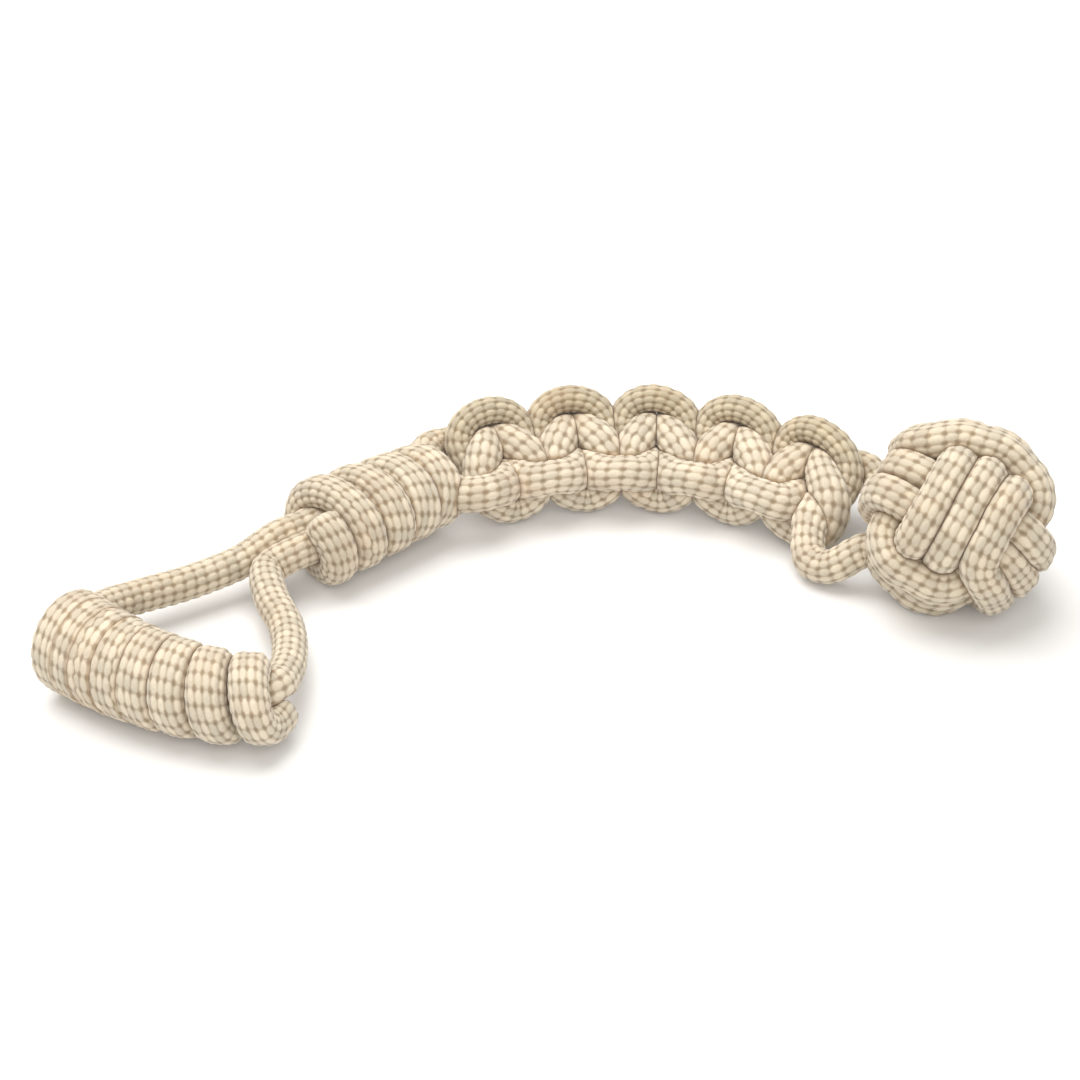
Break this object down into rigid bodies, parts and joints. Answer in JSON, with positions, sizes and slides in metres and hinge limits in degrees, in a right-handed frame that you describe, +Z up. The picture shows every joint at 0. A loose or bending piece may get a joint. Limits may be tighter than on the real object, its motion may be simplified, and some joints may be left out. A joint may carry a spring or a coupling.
{
  "type": "rope dog toy",
  "caption": "Braided rope dog toy: a wound grip on a rope loop, a bound neck, a knotted rope band and a fist knot ball to bite and pull.",
  "frame": {"origin": "middle of the box around the toy, on the surface it lies on", "axes": "+X from the grip towards the ball, +Z up from the surface it lies on"},
  "size_m": [0.3298, 0.1848, 0.0649],
  "materials": {
    "rope": "matte cream and tan braided cotton cord",
    "ball_core": "matte wound yarn, hidden inside the fist knot"
  },
  "bodies": {
    "neck": {"neck_strand_near": "rope", "neck_strand_far": "rope", "neck_wrap": "rope"},
    "handle": {"leg_near": "rope", "grip_core": "rope", "leg_far": "rope", "grip_wrap": "rope"},
    "knot_1": {"knot_1_near_cord": "rope", "knot_1_far_cord": "rope"},
    "knot_2": {"knot_2_near_cord": "rope", "knot_2_far_cord": "rope"},
    "knot_3": {"knot_3_near_cord": "rope", "knot_3_far_cord": "rope"},
    "knot_4": {"knot_4_near_cord": "rope", "knot_4_far_cord": "rope"},
    "knot_5": {"knot_5_near_cord": "rope", "knot_5_far_cord": "rope"},
    "knot_6": {"knot_6_near_cord": "rope", "knot_6_far_cord": "rope"},
    "ball": {"fist_rope": "rope", "ball_core": "ball_core"}
  },
  "joints": [
    {"name": "handle_fold", "type": "hinge", "parent": "neck", "child": "handle", "pos_m": [-0.08931, 0.01179, 0.01633], "axis": [-0.6071, 0.7946, 0], "range_deg": [-60, 60]},
    {"name": "neck_lift", "type": "hinge", "parent": "neck", "child": "knot_1", "pos_m": [-0.03122, 0.05543, 0.01963], "axis": [0.5179, -0.8543, -0.0433], "range_deg": [-8, 8]},
    {"name": "bend_1", "type": "hinge", "parent": "knot_1", "child": "knot_2", "pos_m": [-0.01882, 0.06183, 0.01963], "axis": [-0.2828, 0.5848, 0.7603], "range_deg": [-8, 8]},
    {"name": "bend_2", "type": "hinge", "parent": "knot_2", "child": "knot_3", "pos_m": [0.00802, 0.06931, 0.01963], "axis": [-0.168, 0.6302, 0.7581], "range_deg": [-8, 8]},
    {"name": "bend_3", "type": "hinge", "parent": "knot_3", "child": "knot_4", "pos_m": [0.03588, 0.06927, 0.01963], "axis": [-0.0453, 0.6558, 0.7536], "range_deg": [-8, 8]},
    {"name": "bend_4", "type": "hinge", "parent": "knot_4", "child": "knot_5", "pos_m": [0.06269, 0.06172, 0.01963], "axis": [0.0831, 0.6595, 0.7471], "range_deg": [-8, 8]},
    {"name": "bend_5", "type": "hinge", "parent": "knot_5", "child": "knot_6", "pos_m": [0.0871, 0.04733, 0.01963], "axis": [0.1559, 0.6562, 0.7383], "range_deg": [-8, 8]},
    {"name": "ball_lift", "type": "hinge", "parent": "knot_6", "child": "ball", "pos_m": [0.09591, 0.03534, 0.01385], "axis": [-0.3629, -0.8893, -0.2784], "range_deg": [-12, 12]}
  ]
}
